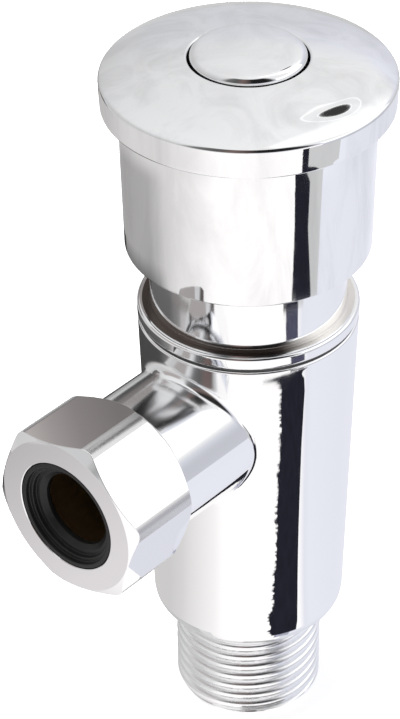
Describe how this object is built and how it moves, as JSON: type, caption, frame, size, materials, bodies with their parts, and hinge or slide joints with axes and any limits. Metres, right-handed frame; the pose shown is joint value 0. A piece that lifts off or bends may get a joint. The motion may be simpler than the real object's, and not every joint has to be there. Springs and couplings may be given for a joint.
{
  "type": "urinal flush valve",
  "caption": "Self-closing urinal flush valve: threaded inlet at the foot, side branch with a hexagonal coupling nut, and a mushroom cap with a push button.",
  "frame": {"origin": "centre of the inlet thread's end face", "axes": "+Z along the body axis towards the push button, -Y along the branch to the outlet"},
  "size_m": [0.0386, 0.0563, 0.1053],
  "materials": {
    "chrome_plated_brass": "polished chrome plate on brass",
    "chrome_plated_cap": "polished chrome plate on brass",
    "chrome_plated_nut": "polished chrome plate on brass",
    "bare_brass": "turned, bare",
    "stainless_steel": "turned",
    "spring_steel": "drawn wire",
    "black_rubber": "moulded, satin",
    "acetal": "turned acetal"
  },
  "bodies": {
    "valve": {"valve_body": "chrome_plated_brass", "bonnet": "chrome_plated_brass", "bonnet_gasket": "black_rubber", "cap": "chrome_plated_cap", "button_spring": "spring_steel", "guide_bush": "acetal", "spindle_seals": "black_rubber", "gland_nut": "bare_brass", "return_spring": "spring_steel", "cartridge_cage": "bare_brass", "cage_gasket": "black_rubber", "inlet_strainer": "stainless_steel", "strainer_ring": "spring_steel", "outlet_seal": "black_rubber", "slip_ring": "bare_brass"},
    "button": {"push_button": "chrome_plated_cap"},
    "spindle_assembly": {"spindle": "stainless_steel", "spindle_clip": "spring_steel", "dashpot_piston": "bare_brass", "lip_seal": "black_rubber", "valve_head": "bare_brass", "seat_washer": "black_rubber", "head_nut": "bare_brass"},
    "nut": {"coupling_nut": "chrome_plated_nut"}
  },
  "joints": [
    {"name": "button_press", "type": "slide", "parent": "valve", "child": "button", "axis": [0, 0, -1], "range_m": [0, 0.0045], "stiffness_N_per_m": 250, "springref_m": -0.006, "deforming": ["button_spring"]},
    {"name": "spindle_travel", "type": "slide", "parent": "valve", "child": "spindle_assembly", "axis": [0, 0, -1], "range_m": [0, 0.0045], "stiffness_N_per_m": 600, "springref_m": -0.008, "deforming": ["return_spring"]},
    {"name": "nut_turn", "type": "hinge", "parent": "valve", "child": "nut", "pos_m": [0, -0.0248, 0.0517], "axis": [0, -1, 0], "continuous": true}
  ],
  "couplings": [
    {"joint": "spindle_travel", "follows": "button_press", "ratio": 1}
  ]
}
